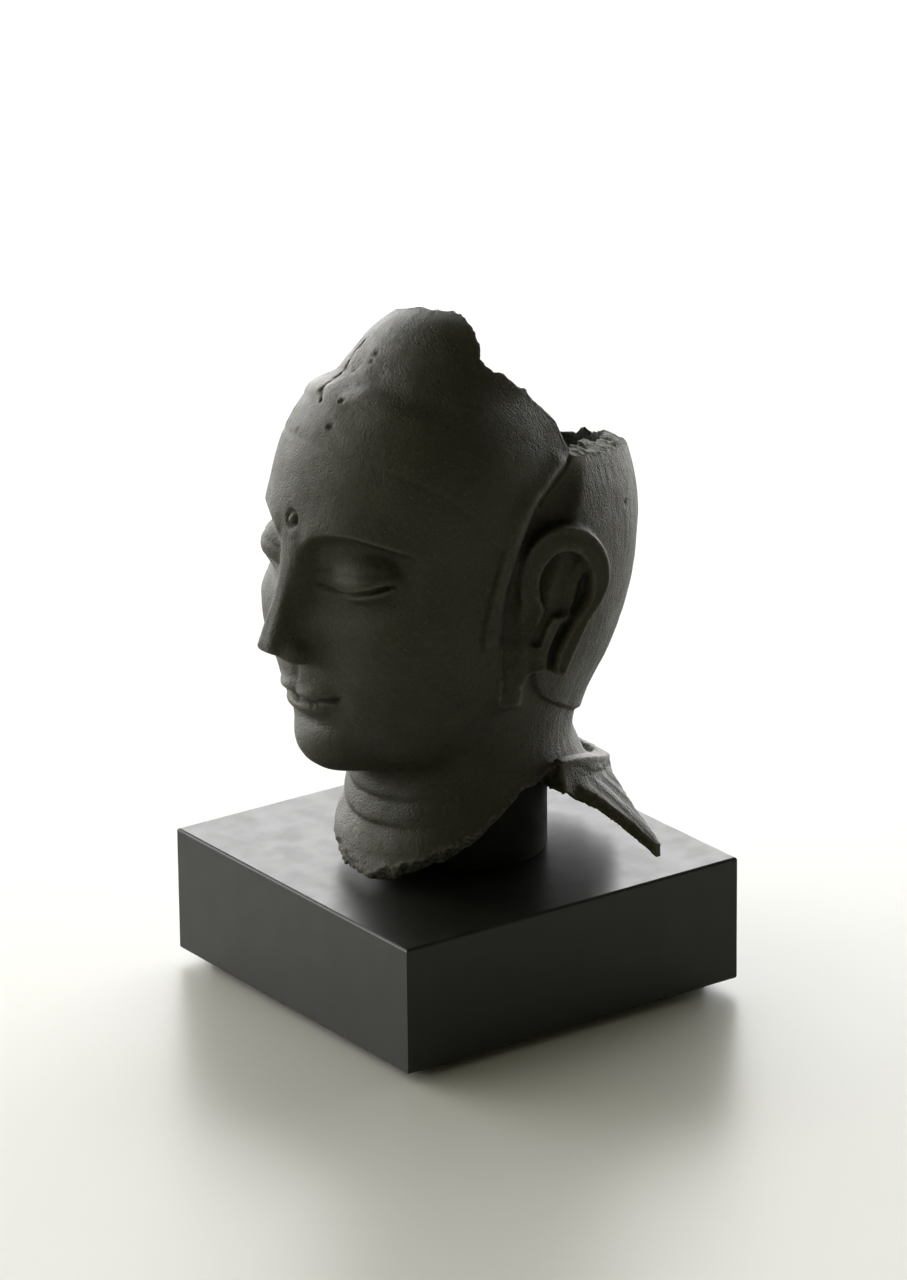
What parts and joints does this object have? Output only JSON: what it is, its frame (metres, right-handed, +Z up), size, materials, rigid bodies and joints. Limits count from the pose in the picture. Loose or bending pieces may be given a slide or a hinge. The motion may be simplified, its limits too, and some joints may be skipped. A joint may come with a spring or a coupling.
{
  "type": "buddha head",
  "caption": "Hollow cast bronze buddha head with a broken crown and neck, standing on a round post and a square black plinth.",
  "frame": {"origin": "centre of the underside of the plinth's foot", "axes": "+Z up through the post and the head; the face looks along -Y and the statue's left ear is on +X"},
  "size_m": [0.21, 0.2231, 0.368],
  "materials": {
    "bronze": "dark grey-olive bronze patina, fine pitted grain, semi-matte",
    "satin_black": "black satin paint"
  },
  "bodies": {
    "root": {"head": "bronze", "post": "satin_black", "plinth": "satin_black", "plinth_foot": "satin_black"}
  },
  "joints": []
}
